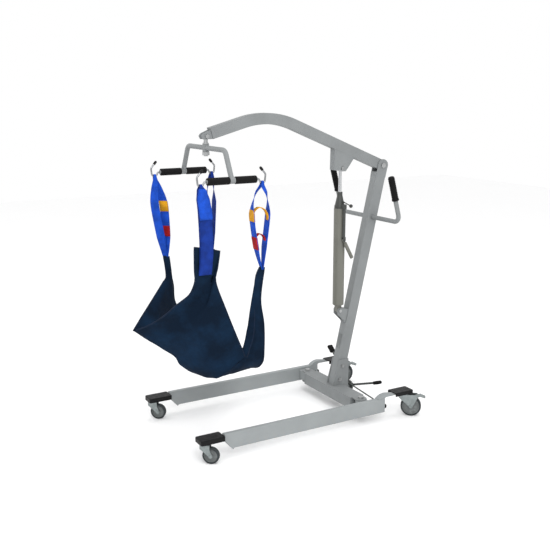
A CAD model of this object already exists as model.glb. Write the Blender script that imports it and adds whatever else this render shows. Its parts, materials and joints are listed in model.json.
"""Looks for a manual patient lift: materials on the CAD parts, the hung sling, its webbing loops,
the ribbed grips, and a plain studio. Lengths in the hoist's own numbers are millimetres."""
import json
import math

import bpy
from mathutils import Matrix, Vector, noise


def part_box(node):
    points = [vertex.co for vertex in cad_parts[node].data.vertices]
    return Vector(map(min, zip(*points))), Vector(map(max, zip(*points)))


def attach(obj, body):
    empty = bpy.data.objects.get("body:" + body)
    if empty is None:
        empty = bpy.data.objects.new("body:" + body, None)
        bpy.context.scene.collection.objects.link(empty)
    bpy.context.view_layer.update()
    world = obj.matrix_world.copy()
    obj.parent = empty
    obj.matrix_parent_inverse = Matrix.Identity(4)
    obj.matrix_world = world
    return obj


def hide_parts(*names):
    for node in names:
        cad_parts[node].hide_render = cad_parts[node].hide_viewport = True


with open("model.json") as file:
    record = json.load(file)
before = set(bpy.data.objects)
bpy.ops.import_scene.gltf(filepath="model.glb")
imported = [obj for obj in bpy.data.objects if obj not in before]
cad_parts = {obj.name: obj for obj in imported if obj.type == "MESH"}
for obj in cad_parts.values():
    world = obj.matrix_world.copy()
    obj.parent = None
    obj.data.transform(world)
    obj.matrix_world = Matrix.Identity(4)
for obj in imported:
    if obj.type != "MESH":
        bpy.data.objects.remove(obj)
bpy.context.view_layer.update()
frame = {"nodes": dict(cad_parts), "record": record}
nodes = frame["nodes"]

# ---- driving dimensions, in millimetres: x from the middle plane, y rearwards, z above the floor
BEAM_FRONT_Y = 247
BAR_X = 246
SPREADER_Y = -407
HOOK_REACH = 144.5
HOOK_SEAT_Z = 1192
SLING_THICK = 3.4
WEBBING_THICK = 2.4
BINDING_R = 3.4

beam_low, beam_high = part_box("base_crossbeam")
MIDDLE_X = (beam_low.x + beam_high.x) / 2
START_Y = beam_low.y - BEAM_FRONT_Y / 1000


def at(x, y, z):
    """A place on the hoist, in metres in the shared frame."""
    return Vector((MIDDLE_X + x / 1000, START_Y + y / 1000, z / 1000))


# ---- meshes ------------------------------------------------------------------------------
CURVE_STEPS = 24  # between two given points of a smooth curve


def piece(name, verts, faces, material, smooth=True):
    mesh = bpy.data.meshes.new(name)
    mesh.from_pydata([tuple(v) for v in verts], [], faces)
    mesh.update()
    mesh.polygons.foreach_set("use_smooth", [smooth] * len(mesh.polygons))
    mesh.materials.append(material)
    obj = bpy.data.objects.new(name, mesh)
    bpy.context.scene.collection.objects.link(obj)
    return obj


def smooth_run(points, count):
    """Evenly spaced points on the smooth curve through the given ones."""
    fine = []
    for i in range(len(points) - 1):
        a, b, c, d = (points[max(0, min(len(points) - 1, i + k))] for k in (-1, 0, 1, 2))
        for step in range(CURVE_STEPS):
            t = step / CURVE_STEPS
            fine.append(0.5 * (2 * b + (c - a) * t + (2 * a - 5 * b + 4 * c - d) * t * t
                               + (3 * b - a - 3 * c + d) * t ** 3))
    fine.append(points[-1])
    lengths = [0.0]
    for a, b in zip(fine, fine[1:]):
        lengths.append(lengths[-1] + (b - a).length)
    result, j = [], 0
    for k in range(count):
        wanted = lengths[-1] * k / (count - 1)
        while j < len(fine) - 2 and lengths[j + 1] < wanted:
            j += 1
        share = (wanted - lengths[j]) / max(lengths[j + 1] - lengths[j], 1e-9)
        result.append(fine[j].lerp(fine[j + 1], share))
    return result


def cloth_mesh(name, grid, thickness, material):
    """A closed sheet of even thickness about a grid of points, with its cut size as its UV map."""
    rows, cols = len(grid), len(grid[0])
    half = thickness / 1000 / 2
    verts, uvs, faces = [], [], []
    run_u = [0.0]
    for j in range(1, cols):
        run_u.append(run_u[-1] + (grid[rows // 2][j] - grid[rows // 2][j - 1]).length)
    run_v = [0.0]
    for i in range(1, rows):
        run_v.append(run_v[-1] + (grid[i][cols // 2] - grid[i - 1][cols // 2]).length)
    normals = []
    for i in range(rows):
        for j in range(cols):
            across = grid[i][min(j + 1, cols - 1)] - grid[i][max(j - 1, 0)]
            down = grid[min(i + 1, rows - 1)][j] - grid[max(i - 1, 0)][j]
            normals.append(down.cross(across).normalized())
    for sign in (1, -1):
        for i in range(rows):
            for j in range(cols):
                verts.append(grid[i][j] + normals[i * cols + j] * (sign * half))
                uvs.append((run_u[j], run_v[i]))
    layer = rows * cols
    for i in range(rows - 1):
        for j in range(cols - 1):
            a, b = i * cols + j, (i + 1) * cols + j
            faces.append((a, b, b + 1, a + 1))
            faces.append((layer + a, layer + a + 1, layer + b + 1, layer + b))
    rim = [i * cols for i in range(rows)] + [(rows - 1) * cols + j for j in range(1, cols)]
    rim += [i * cols + cols - 1 for i in range(rows - 2, -1, -1)] + list(range(cols - 2, 0, -1))
    for a, b in zip(rim, rim[1:] + rim[:1]):
        faces.append((a, layer + a, layer + b, b))
    obj = piece(name, verts, faces, material)
    layer_map = obj.data.uv_layers.new(name="cut")
    for loop in obj.data.loops:
        layer_map.data[loop.index].uv = uvs[loop.vertex_index]
    return obj


def ring_tube(name, centre_line, radii, material, sides=28):
    """A closed tube along a line of points, with its own radius (in metres) at each point."""
    verts, faces = [], []
    for i, point in enumerate(centre_line):
        ahead = centre_line[min(i + 1, len(centre_line) - 1)] - centre_line[max(i - 1, 0)]
        ahead.normalize()
        side = ahead.cross(Vector((1, 0, 0)) if abs(ahead.x) < 0.9 else Vector((0, 1, 0))).normalized()
        other = ahead.cross(side)
        for k in range(sides):
            angle = 2 * math.pi * k / sides
            verts.append(point + (side * math.cos(angle) + other * math.sin(angle)) * radii[i])
    for i in range(len(centre_line) - 1):
        for k in range(sides):
            m = (k + 1) % sides
            faces.append((i * sides + k, i * sides + m, (i + 1) * sides + m, (i + 1) * sides + k))
    last = (len(centre_line) - 1) * sides
    faces.append(tuple(range(sides - 1, -1, -1)))
    faces.append(tuple(range(last, last + sides)))
    return piece(name, verts, faces, material)


# ---- materials ---------------------------------------------------------------------------
class Look:
    """A material under construction: its shader, and short ways to add and join nodes."""

    def __init__(self, name, roughness, metallic=0.0, **sockets):
        self.material = bpy.data.materials.new(name)
        self.material.use_nodes = True
        self.tree = self.material.node_tree
        self.shader = self.tree.nodes["Principled BSDF"]
        self.shader.inputs["Roughness"].default_value = roughness
        self.shader.inputs["Metallic"].default_value = metallic
        for socket, value in sockets.items():
            self.shader.inputs[socket.replace("_", " ")].default_value = value
        self.normal = None

    def add(self, kind, inputs=(), **settings):
        node = self.tree.nodes.new("ShaderNode" + kind)
        for key, value in settings.items():
            setattr(node, key, value)
        for key, value in dict(inputs).items():
            if isinstance(value, bpy.types.NodeSocket):
                self.tree.links.new(value, node.inputs[key])
            else:
                node.inputs[key].default_value = value
        return node

    def place(self):
        """The surface's place on the object, in metres."""
        return self.add("TexCoord").outputs["Object"]

    def cut(self, scale):
        """The place on the cut cloth, stretched by the given scale."""
        where = self.add("UVMap", uv_map="cut").outputs["UV"]
        return self.add("Mapping", {"Vector": where, "Scale": scale}).outputs["Vector"]

    def noise(self, scale, detail=2.0, where=None, rough=0.5):
        node = self.add("TexNoise", {"Vector": where or self.place(), "Scale": scale,
                                     "Detail": detail, "Roughness": rough})
        return node.outputs["Fac"]

    def spread(self, value, low, high, to_low=0.0, to_high=1.0):
        node = self.add("MapRange", {0: value, 1: low, 2: high, 3: to_low, 4: to_high})
        return node.outputs[0]

    def times(self, a, b):
        return self.add("Math", {0: a, 1: b}, operation="MULTIPLY").outputs[0]

    def mix(self, share, first, second):
        node = self.add("Mix", {0: share, 6: (*first, 1) if isinstance(first, tuple) else first,
                                7: (*second, 1) if isinstance(second, tuple) else second},
                        data_type="RGBA")
        return node.outputs[2]

    def colour(self, value):
        self.tree.links.new(value, self.shader.inputs["Base Color"])

    def roughen(self, value, low, high):
        """The roughness follows a noise from low to high."""
        self.tree.links.new(self.spread(value, 0.3, 0.7, low, high), self.shader.inputs["Roughness"])

    def round_edges(self, radius):
        """Softens sharp CAD edges in the shading, over the given radius in metres."""
        self.normal = self.add("Bevel", {"Radius": radius}, samples=6).outputs[0]
        self.tree.links.new(self.normal, self.shader.inputs["Normal"])

    def bump(self, height, distance, strength=1.0):
        inputs = {"Height": height, "Distance": distance, "Strength": strength}
        if self.normal is not None:
            inputs["Normal"] = self.normal
        self.normal = self.add("Bump", inputs).outputs[0]
        self.tree.links.new(self.normal, self.shader.inputs["Normal"])


def shade(colour, factor):
    return tuple(min(1.0, c * factor) for c in colour)


def paint(name, colour, roughness=0.52, edge=0.0022):
    """Powder coat: a faint orange peel, slight tone changes and darker flecks."""
    look = Look(name, roughness, Specular_IOR_Level=0.35)
    patch = look.noise(scale=9, detail=3)
    fleck = look.noise(scale=420)
    tone = look.mix(look.spread(patch, 0.35, 0.65), shade(colour, 0.95), shade(colour, 1.04))
    look.colour(look.mix(look.spread(fleck, 0.62, 0.8, 0, 0.25), tone, shade(colour, 0.82)))
    look.roughen(look.noise(scale=30, detail=3), roughness - 0.06, roughness + 0.1)
    look.round_edges(edge)
    look.bump(look.noise(scale=650), distance=0.00025, strength=0.35)
    return look.material


def metal(name, colour, roughness, streak, edge=0.0008):
    """Bare or plated metal with a fine grain, drawn out by the streak scale, and a little tarnish."""
    look = Look(name, roughness, 1.0)
    where = look.add("Mapping", {"Vector": look.place(), "Scale": streak}).outputs["Vector"]
    lines = look.noise(scale=90, detail=4, where=where, rough=0.6)
    stain = look.noise(scale=45, detail=3)
    tone = look.mix(look.spread(stain, 0.35, 0.7), shade(colour, 1.05), shade(colour, 0.8))
    look.colour(look.mix(look.spread(lines, 0.3, 0.7, 0, 0.35), tone, shade(colour, 0.85)))
    look.roughen(lines, max(0.04, roughness - 0.06), roughness + 0.1)
    look.round_edges(edge)
    look.bump(lines, distance=0.00008, strength=0.5)
    return look.material


def moulded(name, colour, roughness, grain=1500, depth=0.00012, edge=0.0012):
    """Moulded plastic or rubber with a leathery grain and lighter scuffs."""
    look = Look(name, roughness, Specular_IOR_Level=0.16)
    cells = look.add("TexVoronoi", {"Vector": look.place(), "Scale": grain}).outputs["Distance"]
    scuff = look.noise(scale=60, detail=4)
    look.colour(look.mix(look.spread(scuff, 0.5, 0.75), shade(colour, 0.9), shade(colour, 1.5)))
    look.roughen(scuff, roughness - 0.08, roughness + 0.12)
    look.round_edges(edge)
    look.bump(cells, distance=depth, strength=0.6)
    return look.material


def webbing(name, colour, rib=0.0011):
    """Woven strap: two sets of fine diagonal ribs that cross, and slight tone changes."""
    look = Look(name, 0.66, Specular_IOR_Level=0.12)
    ribs = []
    for lean in (1, -1):
        wave = {"Vector": look.cut((lean / rib, 1 / rib, 1)), "Scale": 0.32, "Distortion": 0.4, "Detail": 1.0}
        ribs.append(look.add("TexWave", wave, bands_direction="DIAGONAL").outputs["Fac"])
    weave = look.times(*ribs)
    patch = look.noise(scale=28, detail=3)
    tone = look.mix(look.spread(patch, 0.35, 0.65), shade(colour, 0.72), shade(colour, 1.25))
    look.colour(look.mix(look.spread(weave, 0.0, 0.8, 0.45, 0.0), tone, shade(colour, 0.45)))
    look.bump(weave, distance=0.0005, strength=0.8)
    return look.material


def polyester(name, colour, light):
    """Closely woven sling cloth: a plain weave, long soft creases and a faded bloom."""
    look = Look(name, 0.78, Specular_IOR_Level=0.07)
    threads = []
    for way in ("X", "Y"):
        wave = {"Vector": look.cut((1, 1, 1)), "Scale": 190, "Distortion": 0.3}
        threads.append(look.add("TexWave", wave, bands_direction=way).outputs["Fac"])
    weave = look.times(*threads)
    bloom = look.noise(scale=7, detail=4, rough=0.6)
    tone = look.mix(look.spread(bloom, 0.42, 0.68), colour, light)
    look.colour(look.mix(look.spread(weave, 0.0, 0.8, 0.35, 0.0), tone, shade(colour, 0.5)))
    look.bump(look.noise(scale=26, detail=4, rough=0.55), distance=0.006, strength=0.35)
    look.bump(weave, distance=0.0003, strength=0.5)
    return look.material


FRAME_GREY = (0.2, 0.211, 0.214)
LEG_GREY = (0.262, 0.28, 0.284)
looks = {
    "frame_paint": paint("frame_paint", FRAME_GREY),
    "leg_paint": paint("leg_paint", LEG_GREY),
    "cylinder_paint": paint("cylinder_paint", (0.145, 0.145, 0.125), 0.32),
    "pump_dark": paint("pump_dark", (0.045, 0.048, 0.045), 0.45),
    "rod_dark": paint("rod_dark", (0.06, 0.065, 0.062), 0.42, edge=0.0008),
    "zinc_steel": metal("zinc_steel", (0.42, 0.43, 0.43), 0.34, (1, 1, 1)),
    "rod_chrome": metal("rod_chrome", (0.62, 0.63, 0.64), 0.12, (1, 1, 0.05)),
    "hook_steel": metal("hook_steel", (0.33, 0.34, 0.35), 0.24, (1, 1, 1)),
    "caster_grey": metal("caster_grey", (0.28, 0.31, 0.31), 0.42, (1, 1, 1), edge=0.0015),
    "cap_plastic": moulded("cap_plastic", (0.0055, 0.0055, 0.006), 0.45),
    "grip_rubber": moulded("grip_rubber", (0.003, 0.003, 0.0033), 0.66, grain=900, depth=0.0003),
    "label_plate": moulded("label_plate", (0.16, 0.17, 0.17), 0.4, grain=3000, depth=0.00003),
    "hub_plastic": moulded("hub_plastic", (0.14, 0.15, 0.15), 0.45, grain=1800, depth=0.0001),
    "tyre_grey": moulded("tyre_grey", (0.035, 0.04, 0.042), 0.6, grain=1200, depth=0.0002),
}
for entry in frame["record"]["subparts"]:
    look = looks.get(entry["material_slot"])
    if look is not None:
        nodes[entry["node"]].data.materials.clear()
        nodes[entry["node"]].data.materials.append(look)

STRAP_BLUE = webbing("strap_blue", (0.010, 0.075, 0.52))
STRAP_DEEP = webbing("strap_deep", (0.007, 0.035, 0.26))
LOOP_YELLOW = webbing("loop_yellow", (0.76, 0.36, 0.015))
LOOP_RED = webbing("loop_red", (0.42, 0.01, 0.014))
SLING_NAVY = polyester("sling_navy", colour=(0.0032, 0.0105, 0.025), light=(0.006, 0.024, 0.058))
BINDING_NAVY = webbing("binding_navy", (0.006, 0.016, 0.04), rib=0.0008)


def hang(obj, node):
    """Takes a CAD node's place, riding on the spreader."""
    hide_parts(node)
    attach(obj, "spreader")


# ---- sling -------------------------------------------------------------------------------
# How many rows one half has, and how many points each row, the flap's end and the rear flap's end.
HALF_ROWS = 34
LIP_TO_REAR = 60
FLAP_POINTS = 7
REAR_FLAP_POINTS = 3
REAR_SAG_POWER = 1.7
# How tightly the folds and the creases wave along x, y and z, and how deep they are, in metres.
FOLD_WAVES, FOLD_DEPTH = (9, 9, 3.2), 0.011
CREASE_WAVES, CREASE_DEPTH = (26, 26, 14), 0.0028
CREASE_SHIFT = (5, 3, 1)
CALM_SHARE = 1 / 6  # of the rows or points, over which the folds die away at each edge


def sling_edges(side):
    """The edges of one half of the sling, from its middle plane outwards, in runs without corners."""
    corner = (246, -253, 820)
    if side > 0:
        lip = [(0, -772, 549), (40, -729, 570), (90, -674, 615), (150, -630, 678), (195, -593, 725),
               (214, -580, 762), (226, -575, 798), (228, -578, 838), (230, -578, 937)]
        flap = [(230, -578, 937), (230, -460, 910)]
        edge = [(230, -460, 910), (230, -472, 839), (231, -482, 778), (236, -438, 652), (222, -377, 513),
                (208, -340, 439)]
    else:
        lip = [(0, -772, 549), (30, -742, 566), (60, -711, 585), (120, -647, 623), (180, -579, 667),
               (215, -536, 698), (228, -516, 715), (232, -518, 770), (232, -525, 815)]
        flap = [(232, -525, 815), (232, -497, 811)]
        edge = [(232, -497, 811), (231, -491, 758), (230, -487, 711), (234, -478, 670), (230, -470, 580),
                (222, -400, 490)]
    edge += [(205, -324, 408), (212, -313, 448), (225, -295, 537), (236, -294, 757), (246, -277, 824)]
    rear_flap = [(246, -277, 824), corner]
    middle = [(0, -772, 549), (0, -600, 410), (0, -558, 353), (0, -470, 304), (0, -380, 294),
              (0, -280, 298), (0, -225, 306)]
    rear = [(0, -225, 306), (100, -218, 314), (170, -221, 361), (205, -233, 430), (236, -251, 563),
            (240, -269, 679), corner]
    return lip, flap, edge, rear_flap, middle, rear


def half_grid(side):
    """One half of the sling between its edges: rows from the middle plane outwards, each from lip to rear."""
    lip_run, flap_run, edge_run, rear_flap_run, middle_run, rear_run = (
        [at(side * x, y, z) for x, y, z in run] for run in sling_edges(side))
    lip, rear = smooth_run(lip_run, HALF_ROWS), smooth_run(rear_run, HALF_ROWS)
    outer = smooth_run(flap_run, FLAP_POINTS)[:-1]
    outer += smooth_run(edge_run, LIP_TO_REAR - FLAP_POINTS - REAR_FLAP_POINTS + 2)
    outer += smooth_run(rear_flap_run, REAR_FLAP_POINTS)[1:]
    middle = smooth_run(middle_run, LIP_TO_REAR)
    grid = []
    for i in range(HALF_ROWS):
        s = i / (HALF_ROWS - 1)
        lip_sag = lip[i] - lip[0] * (1 - s) - lip[-1] * s
        rear_sag = rear[i] - rear[0] * (1 - s) - rear[-1] * s
        row = []
        for j in range(LIP_TO_REAR):
            t = j / (LIP_TO_REAR - 1)
            straight = middle[j] * (1 - s) + outer[j] * s
            row.append(straight + lip_sag * (1 - t) ** 3 + rear_sag * t ** REAR_SAG_POWER)
        grid.append(row)
    return grid


def calm(i, count):
    """Nought at both ends of a count and one away from them."""
    return min(1, min(i, count - 1 - i) / count / CALM_SHARE)


def wave_at(point, waves, shift=(0, 0, 0)):
    return noise.noise(Vector([place * wave for place, wave in zip(point, waves)]) + Vector(shift))


def folds(grid):
    """The grid with soft folds and smaller creases, both dying away towards its edges."""
    rows, cols = len(grid), len(grid[0])
    result = []
    for i, row in enumerate(grid):
        line = []
        for j, point in enumerate(row):
            across = grid[min(i + 1, rows - 1)][j] - grid[max(i - 1, 0)][j]
            down = row[min(j + 1, cols - 1)] - row[max(j - 1, 0)]
            normal = across.cross(down).normalized()
            fold = FOLD_DEPTH * wave_at(point, FOLD_WAVES)
            crease = CREASE_DEPTH * wave_at(point, CREASE_WAVES, CREASE_SHIFT)
            line.append(point + normal * (calm(i, rows) * calm(j, cols)) * (fold + crease))
        result.append(line)
    return result


far_half = half_grid(-1)
near_half = half_grid(1)
sling_grid = folds(list(reversed(far_half)) + near_half[1:])
sling = cloth_mesh("sling_cloth", sling_grid, SLING_THICK, SLING_NAVY)
hang(sling, "sling_body")


rim_points = [row[0] for row in sling_grid] + sling_grid[-1][1:]
rim_points += [row[-1] for row in reversed(sling_grid[:-1])] + list(reversed(sling_grid[0]))[1:]
binding_radii = [BINDING_R / 1000] * len(rim_points)
binding = ring_tube("sling_binding", rim_points, binding_radii, BINDING_NAVY, sides=10)
hang(binding, "sling_body")


# ---- webbing loops -----------------------------------------------------------------------
# A loop's rows, and the points in each. Its levels are a rise above its low end or a drop below the
# hook's seat, and a gap is half the space between its two strands, all in millimetres.
LOOP_ROWS = 130
ROW_POINTS = 5
MIDDLE = ROW_POINTS // 2
BELLY_RISE = 95
OPEN_DROP = 135
CLOSING_DROP = 55
NECK_DROP = 16
FOOT_GAP = 2.4
NECK_GAP = 7.5
WIRE_BEND_R = 6.6
WIRE_WIDTH = 11
# The coloured patches on a strand, and the brighter layer folded onto the front right one.
PATCH_LIFT = 2.2
PATCH_THICK = 1.2
BRIGHT_LOW_Z = 1046
BRIGHT_HIGH_Z = 1186
BRIGHT_LIFT = -3.4


def ribbon_grid(stations):
    """Rows across a strap from its stations: a middle point, width and width direction for each."""
    points = smooth_run([s[0] for s in stations], LOOP_ROWS)
    lengths = [0.0]
    for a, b in zip(stations, stations[1:]):
        lengths.append(lengths[-1] + (b[0] - a[0]).length)
    grid = []
    for k, point in enumerate(points):
        wanted = lengths[-1] * k / (LOOP_ROWS - 1)
        j = max(i for i in range(len(lengths) - 1) if lengths[i] <= wanted + 1e-9)
        share = min(1.0, (wanted - lengths[j]) / max(lengths[j + 1] - lengths[j], 1e-9))
        width = (stations[j][1] * (1 - share) + stations[j + 1][1] * share) / 1000
        direction = stations[j][2].lerp(stations[j + 1][2], share).normalized()
        grid.append([point + direction * (width * (c / (ROW_POINTS - 1) - 0.5)) for c in range(ROW_POINTS)])
    return grid


def strap_middle(plan, z):
    """The middle of a webbing loop at a height: plumb at the hook, swaying and leaning to its low end."""
    x, y = plan["side"] * BAR_X, SPREADER_Y + plan["end"] * HOOK_REACH
    fall = max(0, HOOK_SEAT_Z - z) / (HOOK_SEAT_Z - plan["low"])
    sway = plan["sway"] * 4 * fall * (1 - fall)
    return x + (plan["side"] * plan["low_x"] - x) * fall, y + (plan["low_y"] - y) * fall + sway


def hook_loop(plan):
    """The rows of a webbing loop: up one strand, over the hook wire and down the other."""
    low, spread, width = plan["low"], plan["spread"], plan["width"]
    held = width * plan["hold"]
    # Each level: its height, half the gap between the strands, their width, and its share of the low turn.
    levels = [(low, FOOT_GAP, width * plan["foot"], 1),
              (low + BELLY_RISE, spread * plan["belly"], width, 1),
              (HOOK_SEAT_Z - OPEN_DROP, spread, width, 1),
              (HOOK_SEAT_Z - CLOSING_DROP, spread * 0.65, held, 0.6),
              (HOOK_SEAT_Z - NECK_DROP, NECK_GAP, held * 0.6, 0.2)]
    for angle in (0, 45, 90):
        rise = WIRE_BEND_R * math.sin(math.radians(angle))
        reach = WIRE_BEND_R * math.cos(math.radians(angle))
        levels.append((HOOK_SEAT_Z + rise, reach, WIRE_WIDTH, 0))
    strands = [(1, *level) for level in levels] + [(-1, *level) for level in reversed(levels[:-1])]
    stations = []
    for sign, z, gap, strap_width, low_part in strands:
        turn = math.radians(plan["turn"] * low_part)
        face = turn + math.radians(90 + plan["skew"] * low_part)
        x, y = strap_middle(plan, z)
        point = at(x + sign * gap * math.cos(turn), y + sign * gap * math.sin(turn), z)
        stations.append((point, strap_width, Vector((math.cos(face), math.sin(face), 0))))
    return ribbon_grid(stations)


def patch_rows(grid, low_z, high_z, strand):
    """The rows of one strand of a loop between two heights."""
    rows = grid[:len(grid) // 2] if strand > 0 else grid[len(grid) // 2:]
    return [row for row in rows if low_z <= row[MIDDLE].z * 1000 <= high_z]


def lifted(grid, height):
    """The rows moved off their own surface, to the side that the height's sign says."""
    result = []
    for i, row in enumerate(grid):
        ahead = grid[min(i + 1, len(grid) - 1)][MIDDLE] - grid[max(i - 1, 0)][MIDDLE]
        normal = ahead.cross(row[-1] - row[0]).normalized()
        result.append([point + normal * (height / 1000) for point in row])
    return result


# Each loop: its hook, its low end, how far its strands open, its width (foot and hold are shares of it
# at the low end and near the hook), how the webbing turns, and which strands carry coloured loops.
STRAPS = {
    "front_right": dict(side=1, end=-1, low=816, low_x=238, low_y=-534, sway=15, spread=7, belly=0.75,
                        width=58, foot=1, hold=0.95, turn=0, skew=0, cloth=STRAP_DEEP, looped=()),
    "front_left": dict(side=-1, end=-1, low=810, low_x=236, low_y=-512, sway=4, spread=22, belly=0.6,
                       width=42, foot=0.5, hold=0.8, turn=-90, skew=45, cloth=STRAP_BLUE, looped=(-1,)),
    "rear_right": dict(side=1, end=1, low=814, low_x=BAR_X, low_y=-265, sway=-12, spread=39, belly=0.5,
                       width=44, foot=0.4, hold=0.8, turn=90, skew=0, cloth=STRAP_BLUE, looped=(-1,)),
    "rear_left": dict(side=-1, end=1, low=814, low_x=BAR_X, low_y=-265, sway=-8, spread=20, belly=0.6,
                      width=44, foot=0.4, hold=0.8, turn=90, skew=0, cloth=STRAP_DEEP, looped=(-1,)),
}
# The coloured patches: each one's lowest and highest place. The open ones: height and half spread.
LOOPS = (("yellow", 1022, 1078, LOOP_YELLOW), ("red", 903, 964, LOOP_RED))
ARCHES = (("yellow", 1068, 36, LOOP_YELLOW), ("red", 954, 27, LOOP_RED))
# An open loop's middle line: share of its half spread, how far inwards, and how high, for each point.
ARCH_LINE = ((-1, 0, -12), (-0.7, 4, 6), (0, 6, 17), (0.7, 4, 4), (1, 0, -22), (1, 0, -40))
ARCH_POINTS = 24
ARCH_HALF_WIDTH = 11
ARCH_THICK = 3


def colour_loops(name, loop, node, strand):
    """The coloured shortening loops sewn on a strand, as a patch on each of its faces."""
    patches = []
    for colour, low_z, high_z, material in LOOPS:
        rows = patch_rows(loop, low_z, high_z, strand)
        for face, lift in (("out", PATCH_LIFT), ("in", -PATCH_LIFT)):
            patch = cloth_mesh(f"loop_{colour}_{name}_{face}", lifted(rows, lift), PATCH_THICK, material)
            hang(patch, node)
            patches.append(patch)
    return patches


def loop_arch(name, plan, z, spread, material):
    """A coloured loop standing open from one strand of a webbing loop across to the other."""
    x, y = strap_middle(plan, z)
    line = [at(x - inward, y + share * spread, z + rise) for share, inward, rise in ARCH_LINE]
    half = Vector((ARCH_HALF_WIDTH / 1000, 0, 0))
    rows = [[point + half, point, point - half] for point in smooth_run(line, ARCH_POINTS)]
    arch = cloth_mesh(name, rows, ARCH_THICK, material)
    hang(arch, "sling_straps_rear")
    return arch


for name, plan in STRAPS.items():
    node = "sling_straps_front" if plan["end"] < 0 else "sling_straps_rear"
    loop = hook_loop(plan)
    strap = cloth_mesh(f"strap_{name}", loop, WEBBING_THICK, plan["cloth"])
    hang(strap, node)
    extras = []
    for strand in plan["looped"]:
        extras += colour_loops(name, loop, node, strand)
    if name == "rear_right":
        for colour, z, spread, material in ARCHES:
            extras.append(loop_arch(f"arch_{colour}", plan, z, spread, material))
    if name == "front_right":
        fold = lifted(patch_rows(loop, BRIGHT_LOW_Z, BRIGHT_HIGH_Z, strand=1), BRIGHT_LIFT)
        bright = cloth_mesh("strap_fold", fold, WEBBING_THICK, STRAP_BLUE)
        hang(bright, node)
        extras.append(bright)


# ---- push handle grips ---------------------------------------------------------------------
# The grip runs down from its top towards the handle's foot, both given as y and z.
HANDLE_X = 240
GRIP_TOP = (432, 1180)
HANDLE_FOOT = (493.3, 958)
GRIP_R = 16.4
GRIP_LENGTH = 118
RIB_PITCH = 9
RIB_DEPTH = 0.9
COLLAR_LENGTH = 7
COLLAR_RISE = 1.6
END_LENGTH = 8
END_SHARE = 0.45  # of the full radius, left at the very top


def grip_radius(along):
    """The grip's radius, in metres, so many millimetres along it: a collar, ribs and a rounded end."""
    rib = RIB_DEPTH * math.cos(2 * math.pi * along / RIB_PITCH) if along > COLLAR_LENGTH else 0
    collar = COLLAR_RISE if along < COLLAR_LENGTH else 0
    into_end = max(0, along - GRIP_LENGTH + END_LENGTH)
    round_off = math.sqrt(1 - into_end ** 2 / END_LENGTH ** 2)
    return (GRIP_R - RIB_DEPTH + rib + collar) * (END_SHARE + (1 - END_SHARE) * round_off) / 1000


for name, side in (("right", 1), ("left", -1)):
    top = Vector((side * HANDLE_X, *GRIP_TOP))
    foot = Vector((side * HANDLE_X, *HANDLE_FOOT))
    upward = (top - foot).normalized()
    stops = range(GRIP_LENGTH + 1)
    line = [at(*(top - upward * (GRIP_LENGTH - along))) for along in stops]
    radii = [grip_radius(along) for along in stops]
    grip = ring_tube(f"handle_grip_{name}", line, radii, looks["grip_rubber"])
    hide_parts("push_handle_grips")
    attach(grip, "base")


# ---- studio ------------------------------------------------------------------------------
CAMERA_AZIMUTH = math.radians(59.74)
CAMERA_ELEVATION = math.radians(12.44)
CAMERA_DISTANCE = 4.004
CAMERA_TARGET = at(-41.6, -31.4, 707.4)
LENS = 54.5
SENSOR_WIDTH = 36
FLOOR_HALF = 9
PAPER_COOL = (0.955, 0.955, 0.958)
PAPER_LIGHT = (0.975, 0.975, 0.975)

floor_look = Look("floor_paper", 0.9)
floor_look.colour(floor_look.mix(floor_look.noise(scale=0.8), PAPER_COOL, PAPER_LIGHT))
floor_corners = [(x * FLOOR_HALF, y * FLOOR_HALF, 0) for x, y in ((-1, -1), (1, -1), (1, 1), (-1, 1))]
floor = piece("floor", floor_corners, [(0, 1, 2, 3)], floor_look.material, smooth=False)

level = math.cos(CAMERA_ELEVATION)
back = Vector((math.sin(CAMERA_AZIMUTH) * level, -math.cos(CAMERA_AZIMUTH) * level,
               math.sin(CAMERA_ELEVATION)))
camera_data = bpy.data.cameras.new("camera")
camera_data.lens = LENS
camera_data.sensor_width = SENSOR_WIDTH
camera = bpy.data.objects.new("camera", camera_data)
camera.location = CAMERA_TARGET + back * CAMERA_DISTANCE
camera.rotation_euler = back.to_track_quat("Z", "Y").to_euler()
bpy.context.scene.collection.objects.link(camera)
bpy.context.scene.camera = camera


def area_light(name, place, aim, size, power):
    """A round soft light: its place, aim and size in metres, its power in watts."""
    data = bpy.data.lights.new(name, "AREA")
    data.shape = "DISK"
    data.size = size
    data.energy = power
    lamp = bpy.data.objects.new(name, data)
    lamp.location = place
    lamp.rotation_euler = (Vector(place) - Vector(aim)).to_track_quat("Z", "Y").to_euler()
    bpy.context.scene.collection.objects.link(lamp)


area_light("key", place=(3.4, -1.2, 3.2), aim=(0, 0, 0.6), size=2.6, power=85)
area_light("fill", place=(-2.6, -3.4, 2.4), aim=(0, 0, 0.6), size=3.0, power=30)
area_light("top", place=(0.2, 0.4, 4.4), aim=(0, 0, 0), size=3.6, power=30)

world = bpy.data.worlds.new("studio")
world.use_nodes = True
world.node_tree.nodes["Background"].inputs["Color"].default_value = (1, 1, 1, 1)
world.node_tree.nodes["Background"].inputs["Strength"].default_value = 1.0
bpy.context.scene.world = world
bpy.context.scene.view_settings.view_transform = "Standard"
